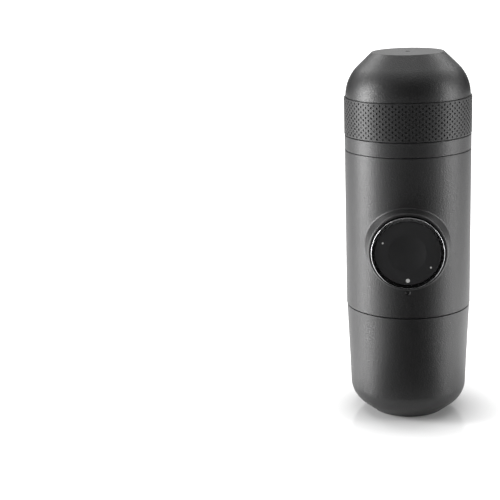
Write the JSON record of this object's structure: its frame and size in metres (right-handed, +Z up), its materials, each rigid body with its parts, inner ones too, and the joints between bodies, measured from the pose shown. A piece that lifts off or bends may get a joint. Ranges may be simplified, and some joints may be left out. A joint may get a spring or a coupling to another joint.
{
  "type": "handheld manual espresso maker",
  "caption": "Pocket espresso maker standing closed: domed cup as cover, textured grip ring, pump body with round push piston and tapered water tank.",
  "frame": {"origin": "centre of the flat base of the water tank, on the body's axis", "axes": "+Z up along the body's axis, -Y towards the front, where the piston's knob is"},
  "size_m": [0.06, 0.07, 0.175],
  "materials": {
    "cup_plastic": "fine-grained matte charcoal moulding",
    "grip_plastic": "matte charcoal moulding with rows of small dimples",
    "head_plastic": "fine-grained matte charcoal moulding",
    "disc_plastic": "matte charcoal moulding",
    "nozzle_steel": "polished stainless steel",
    "funnel_plastic": "satin black moulding",
    "seal_rubber": "black rubber",
    "basket_plastic": "satin black moulding",
    "screen_steel": "perforated stainless steel",
    "body_plastic": "fine-grained matte charcoal moulding",
    "collar_gloss": "glossy black moulding",
    "neck_gloss": "glossy black moulding",
    "bulkhead_plastic": "dark matte moulding",
    "screw_steel": "stainless steel",
    "pump_plastic": "natural white engineering plastic",
    "valve_silicone": "red-brown silicone",
    "spring_steel": "stainless spring wire",
    "sleeve_chrome": "polished chrome",
    "rim_chrome": "polished dark chrome",
    "knob_plastic": "satin black moulding",
    "tank_plastic": "fine-grained matte charcoal moulding"
  },
  "bodies": {
    "tank": {"water_tank": "tank_plastic"},
    "tank_ring": {"tank_seal": "seal_rubber"},
    "pump_body": {"body_shell": "body_plastic", "neck_collar": "collar_gloss", "cup_seal": "seal_rubber", "upper_bulkhead": "bulkhead_plastic", "shower_plate": "screen_steel", "shower_screw": "screw_steel", "pump_cylinder": "pump_plastic", "cylinder_end_plug": "bulkhead_plastic", "rod_bush": "pump_plastic", "inlet_valve": "valve_silicone", "outlet_valve": "valve_silicone", "lower_bulkhead": "neck_gloss", "intake_filter": "screen_steel", "air_vent_valve": "valve_silicone", "lower_screws": "screw_steel", "upper_screws": "screw_steel", "guide_ring": "collar_gloss", "piston_wiper": "seal_rubber", "return_spring": "spring_steel"},
    "piston": {"piston_sleeve": "sleeve_chrome", "plunger_rod": "pump_plastic", "plunger_seal": "seal_rubber"},
    "knob": {"knob_rim": "rim_chrome", "knob_cap": "knob_plastic", "knob_screw": "screw_steel"},
    "head_ring": {"head_gasket": "seal_rubber"},
    "outlet_head": {"outlet_head": "head_plastic", "outlet_end_disc": "disc_plastic", "nozzle_ring": "nozzle_steel", "outlet_funnel": "funnel_plastic"},
    "basket": {"filter_basket": "basket_plastic", "basket_screen": "screen_steel"},
    "cup": {"espresso_cup": "cup_plastic", "cup_grip_ring": "grip_plastic"}
  },
  "joints": [
    {"name": "tank_lift", "type": "slide", "parent": "tank", "child": "tank_ring", "axis": [0, 0, 1], "range_m": [0, 0.008]},
    {"name": "tank_turn", "type": "hinge", "parent": "tank_ring", "child": "pump_body", "pos_m": [0, 0, 0.0521], "axis": [0, 0, 1], "range_deg": [0, 360]},
    {"name": "piston_stroke", "type": "slide", "parent": "pump_body", "child": "piston", "axis": [0, -1, 0], "range_m": [0, 0.025], "deforming": ["return_spring"]},
    {"name": "knob_turn", "type": "hinge", "parent": "piston", "child": "knob", "pos_m": [0, 0, 0.088], "axis": [0, -1, 0], "range_deg": [0, 60]},
    {"name": "head_lift", "type": "slide", "parent": "pump_body", "child": "head_ring", "axis": [0, 0, 1], "range_m": [0, 0.008]},
    {"name": "head_turn", "type": "hinge", "parent": "head_ring", "child": "outlet_head", "pos_m": [0, 0, 0.1328], "axis": [0, 0, 1], "range_deg": [0, 360]},
    {"name": "basket_lift", "type": "slide", "parent": "pump_body", "child": "basket", "axis": [0, 0, 1], "range_m": [0, 0.004]},
    {"name": "cup_lift", "type": "slide", "parent": "outlet_head", "child": "cup", "axis": [0, 0, 1], "range_m": [0, 0.05]}
  ],
  "couplings": [
    {"joint": "tank_lift", "follows": "tank_turn", "m_per_rad": 0.0012732},
    {"joint": "head_lift", "follows": "head_turn", "m_per_rad": 0.0012732},
    {"joint": "basket_lift", "follows": "head_turn", "m_per_rad": 0.0006366}
  ]
}
